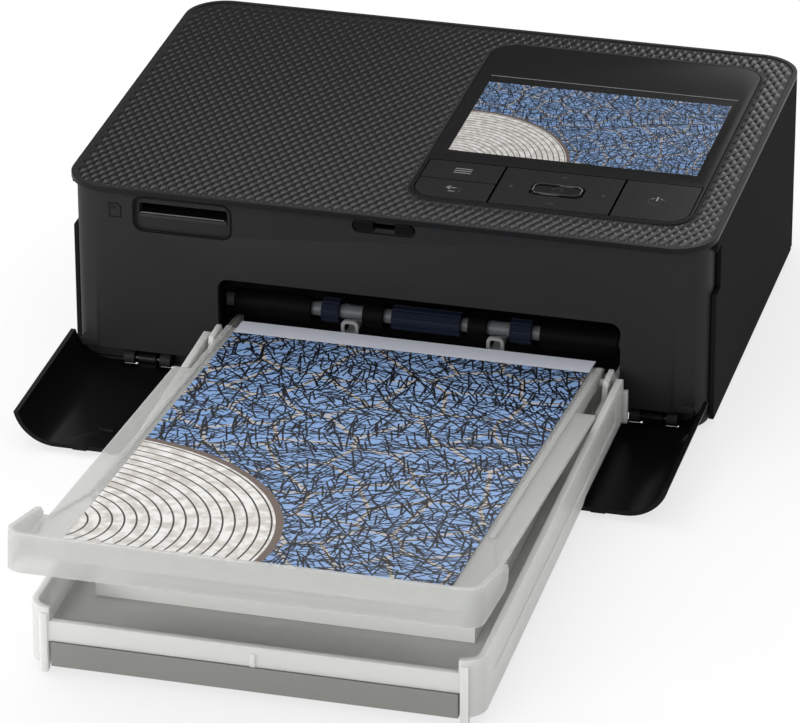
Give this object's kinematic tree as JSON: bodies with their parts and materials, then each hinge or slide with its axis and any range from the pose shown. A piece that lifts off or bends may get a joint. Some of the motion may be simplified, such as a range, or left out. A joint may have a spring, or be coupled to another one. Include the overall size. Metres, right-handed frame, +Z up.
{
  "type": "compact photo printer",
  "caption": "Compact photo printer with a folded-down front door, a frosted paper cassette with raised lid, side ink door, keys and screen on top, and a roller and thermal print mechanism.",
  "frame": {"origin": "on the table under the middle of the whole, cassette and lid included", "axes": "+X right, -Y the front where the cassette goes in, +Z up"},
  "size_m": [0.1822, 0.3066, 0.0576],
  "materials": {
    "case_black": "satin",
    "textured_black": "textured satin",
    "gloss_black": "gloss",
    "screen": "gloss",
    "frosted": "frosted translucent",
    "grey_plastic": "satin",
    "light_plastic": "satin",
    "blue_plastic": "satin",
    "rubber": "matt",
    "steel": "satin",
    "motor_steel": "satin",
    "brass": "satin",
    "aluminium": "satin",
    "ceramic": "glazed",
    "board": "satin",
    "jack_black": "satin",
    "film": "gloss",
    "paper": "semi-gloss",
    "print": "gloss"
  },
  "bodies": {
    "case": {"lower_case": "case_black", "rubber_feet": "rubber", "front_shell": "case_black", "rear_shell": "case_black", "left_panel": "case_black", "top_cover": "textured_black", "mouth_frame": "case_black", "door_catch": "gloss_black", "front_door_pins": "steel", "ink_door_pins": "steel", "operation_panel": "gloss_black", "screen_glass": "screen", "screen_module": "steel", "key_board": "board", "card_socket": "steel", "main_board": "board", "dc_jack": "jack_black", "usb_socket": "steel", "chassis_left": "steel", "chassis_right": "steel", "chassis_ties": "steel", "shaft_covers": "case_black", "paper_guide": "case_black", "paper_hooks": "light_plastic", "shaft_bushes": "light_plastic", "drive_motor": "motor_steel", "ink_cassette": "light_plastic", "ink_ribbon": "film", "case_screws": "steel"},
    "front_door": {"front_door": "case_black"},
    "ink_door": {"ink_door": "case_black"},
    "cassette": {"cassette_tray": "frosted", "cassette_base": "grey_plastic", "paper_stack": "paper"},
    "lid": {"cassette_lid": "frosted", "lid_pins": "frosted", "print_sheet": "print"},
    "menu_key": {"menu_key": "gloss_black"},
    "back_key": {"back_key": "gloss_black"},
    "pad_gimbal": {"pad_gimbal": "rubber"},
    "four_way_key": {"four_way_key": "gloss_black"},
    "ok_key": {"ok_key": "gloss_black"},
    "power_key": {"power_key": "gloss_black"},
    "exit_rollers": {"exit_shaft": "steel", "exit_rollers": "rubber"},
    "capstan": {"capstan": "steel"},
    "pinch_roller": {"pinch_roller": "rubber"},
    "platen_roller": {"platen_roller": "rubber"},
    "motor_pinion": {"motor_pinion": "brass"},
    "head": {"thermal_head": "ceramic", "heat_sink": "aluminium"},
    "supply_spool": {"supply_spool": "light_plastic"},
    "takeup_spool": {"takeup_spool": "light_plastic"},
    "ink_lever": {"ink_lever": "blue_plastic"}
  },
  "joints": [
    {"name": "front_door_hinge", "type": "hinge", "parent": "case", "child": "front_door", "pos_m": [0, 0.02374, 0.0046], "axis": [-1, 0, 0], "range_deg": [0, 3.2]},
    {"name": "ink_door_hinge", "type": "hinge", "parent": "case", "child": "ink_door", "pos_m": [0.0885, 0.14009, 0.028], "axis": [0, 0, 1], "range_deg": [0, 95]},
    {"name": "cassette_slide", "type": "slide", "parent": "case", "child": "cassette", "axis": [0, -1, 0], "range_m": [0, 0.06]},
    {"name": "lid_hinge", "type": "hinge", "parent": "cassette", "child": "lid", "pos_m": [0.00965, 0.01484, 0.0179], "axis": [-1, 0, 0], "range_deg": [-6, 45]},
    {"name": "menu_press", "type": "slide", "parent": "case", "child": "menu_key", "axis": [0, 0, -1], "range_m": [0, 0.0004], "stiffness_N_per_m": 400, "springref_m": -0.0004},
    {"name": "back_press", "type": "slide", "parent": "case", "child": "back_key", "axis": [0, 0, -1], "range_m": [0, 0.0004], "stiffness_N_per_m": 400, "springref_m": -0.0004},
    {"name": "ok_press", "type": "slide", "parent": "case", "child": "ok_key", "axis": [0, 0, -1], "range_m": [0, 0.0004], "stiffness_N_per_m": 400, "springref_m": -0.0004},
    {"name": "power_press", "type": "slide", "parent": "case", "child": "power_key", "axis": [0, 0, -1], "range_m": [0, 0.0004], "stiffness_N_per_m": 400, "springref_m": -0.0004},
    {"name": "pad_rock_fore_aft", "type": "hinge", "parent": "case", "child": "pad_gimbal", "pos_m": [0.0425, 0.04854, 0.0551], "axis": [1, 0, 0], "range_deg": [-1.2, 1.2], "stiffness_Nm_per_rad": 0.05},
    {"name": "pad_rock_side", "type": "hinge", "parent": "pad_gimbal", "child": "four_way_key", "pos_m": [0.0425, 0.04854, 0.0551], "axis": [0, 1, 0], "range_deg": [-1.2, 1.2], "stiffness_Nm_per_rad": 0.05},
    {"name": "capstan_spin", "type": "hinge", "parent": "case", "child": "capstan", "pos_m": [0.00965, 0.05476, 0.021], "axis": [1, 0, 0], "continuous": true},
    {"name": "exit_spin", "type": "hinge", "parent": "case", "child": "exit_rollers", "pos_m": [0.00965, 0.03384, 0.021], "axis": [1, 0, 0], "continuous": true},
    {"name": "platen_spin", "type": "hinge", "parent": "case", "child": "platen_roller", "pos_m": [0.00965, 0.0788, 0.019], "axis": [1, 0, 0], "continuous": true},
    {"name": "pinch_spin", "type": "hinge", "parent": "case", "child": "pinch_roller", "pos_m": [0.00965, 0.05476, 0.02835], "axis": [1, 0, 0], "continuous": true},
    {"name": "pinion_spin", "type": "hinge", "parent": "case", "child": "motor_pinion", "pos_m": [0.00965, 0.0627, 0.03594], "axis": [1, 0, 0], "continuous": true},
    {"name": "takeup_spin", "type": "hinge", "parent": "case", "child": "takeup_spool", "pos_m": [0.00965, 0.06134, 0.039], "axis": [1, 0, 0], "continuous": true},
    {"name": "supply_spin", "type": "hinge", "parent": "case", "child": "supply_spool", "pos_m": [0.00965, 0.11234, 0.039], "axis": [1, 0, 0], "continuous": true},
    {"name": "head_lift", "type": "hinge", "parent": "case", "child": "head", "pos_m": [0.00965, 0.09594, 0.0456], "axis": [-1, 0, 0], "range_deg": [0, 3], "stiffness_Nm_per_rad": 2, "springref_deg": -5.73},
    {"name": "ink_lever_lift", "type": "hinge", "parent": "case", "child": "ink_lever", "pos_m": [0.0756, 0.04934, 0.042], "axis": [-1, 0, 0], "range_deg": [0, 15], "stiffness_Nm_per_rad": 0.02, "springref_deg": -5.73}
  ],
  "couplings": [
    {"joint": "exit_spin", "follows": "capstan_spin", "ratio": -1.3636},
    {"joint": "platen_spin", "follows": "capstan_spin", "ratio": -1},
    {"joint": "pinion_spin", "follows": "capstan_spin", "ratio": -2.5},
    {"joint": "pinch_spin", "follows": "capstan_spin", "ratio": -1.3333},
    {"joint": "takeup_spin", "follows": "capstan_spin", "ratio": -0.74074},
    {"joint": "supply_spin", "follows": "capstan_spin", "ratio": -0.47619}
  ]
}
